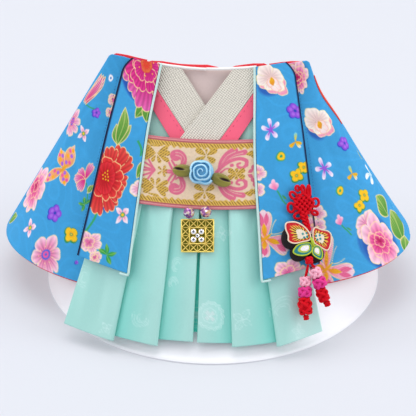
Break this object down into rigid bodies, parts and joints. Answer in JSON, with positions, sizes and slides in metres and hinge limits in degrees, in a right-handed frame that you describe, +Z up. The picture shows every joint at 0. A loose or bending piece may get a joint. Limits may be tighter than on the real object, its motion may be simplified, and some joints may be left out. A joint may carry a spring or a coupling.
{
  "type": "miniature hanfu on a display form",
  "caption": "Miniature hanfu: printed jacket with bell sleeves, crossed collar, woven waistband, pleated skirt and knotted charm, on a smooth round-footed display form.",
  "frame": {"origin": "on the flat underside of the display form, below the middle of the garment", "axes": "+Z up, the garment's front faces -Y, +X is the viewer's right"},
  "size_m": [0.1945, 0.16, 0.1141],
  "materials": {
    "white_form": "smooth white moulded plastic, satin",
    "blue_print_cotton": "printed cotton, plain weave, matt",
    "red_lining": "red lining cloth, matt",
    "mint_satin": "satin with a tone-on-tone woven pattern",
    "inset_satin": "plain skin-coloured satin",
    "ribbed_tape": "ribbed cotton tape, matt",
    "pink_trim": "folded satin bias strip",
    "woven_ribbon": "jacquard ribbon with gold thread",
    "blue_ribbon": "satin ribbon",
    "olive_ribbon": "satin ribbon",
    "violet_crystal": "faceted crystal with a rainbow coating",
    "gold_filigree": "stamped gold-plated filigree",
    "red_cord": "twisted satin cord",
    "pink_cord": "twisted satin cord",
    "magenta_cord": "twisted satin cord",
    "embroidered_pad": "dark padded cloth with a stitched face"
  },
  "bodies": {
    "root": {"display_form": "white_form", "neck_lining": "red_lining", "inset": "inset_satin", "bodice_left": "mint_satin", "bodice_right": "mint_satin", "collar_under": "ribbed_tape", "collar_over": "ribbed_tape", "collar_trim_under": "pink_trim", "collar_trim_over": "pink_trim", "skirt": "mint_satin", "waistband": "woven_ribbon", "front_left": "blue_print_cotton", "front_right": "blue_print_cotton", "front_piping_left": "mint_satin", "front_piping_right": "mint_satin", "sleeve_left": "blue_print_cotton", "sleeve_right": "blue_print_cotton", "sleeve_lining_left": "red_lining", "sleeve_lining_right": "red_lining", "back": "blue_print_cotton", "back_lining": "red_lining", "ribbon_rose": "blue_ribbon", "rose_leaf_left": "olive_ribbon", "rose_leaf_right": "olive_ribbon", "bead_left": "violet_crystal", "bead_right": "violet_crystal", "pendant": "gold_filigree", "charm_knot": "red_cord", "charm_butterfly": "embroidered_pad", "charm_end_knot": "red_cord", "tail_left_cord": "red_cord", "tail_right_cord": "red_cord", "tail_left_pink": "pink_cord", "tail_left_magenta": "magenta_cord", "tail_left_red": "red_cord", "tail_right_pink": "pink_cord", "tail_right_magenta": "magenta_cord", "tail_right_red": "red_cord"}
  },
  "joints": []
}
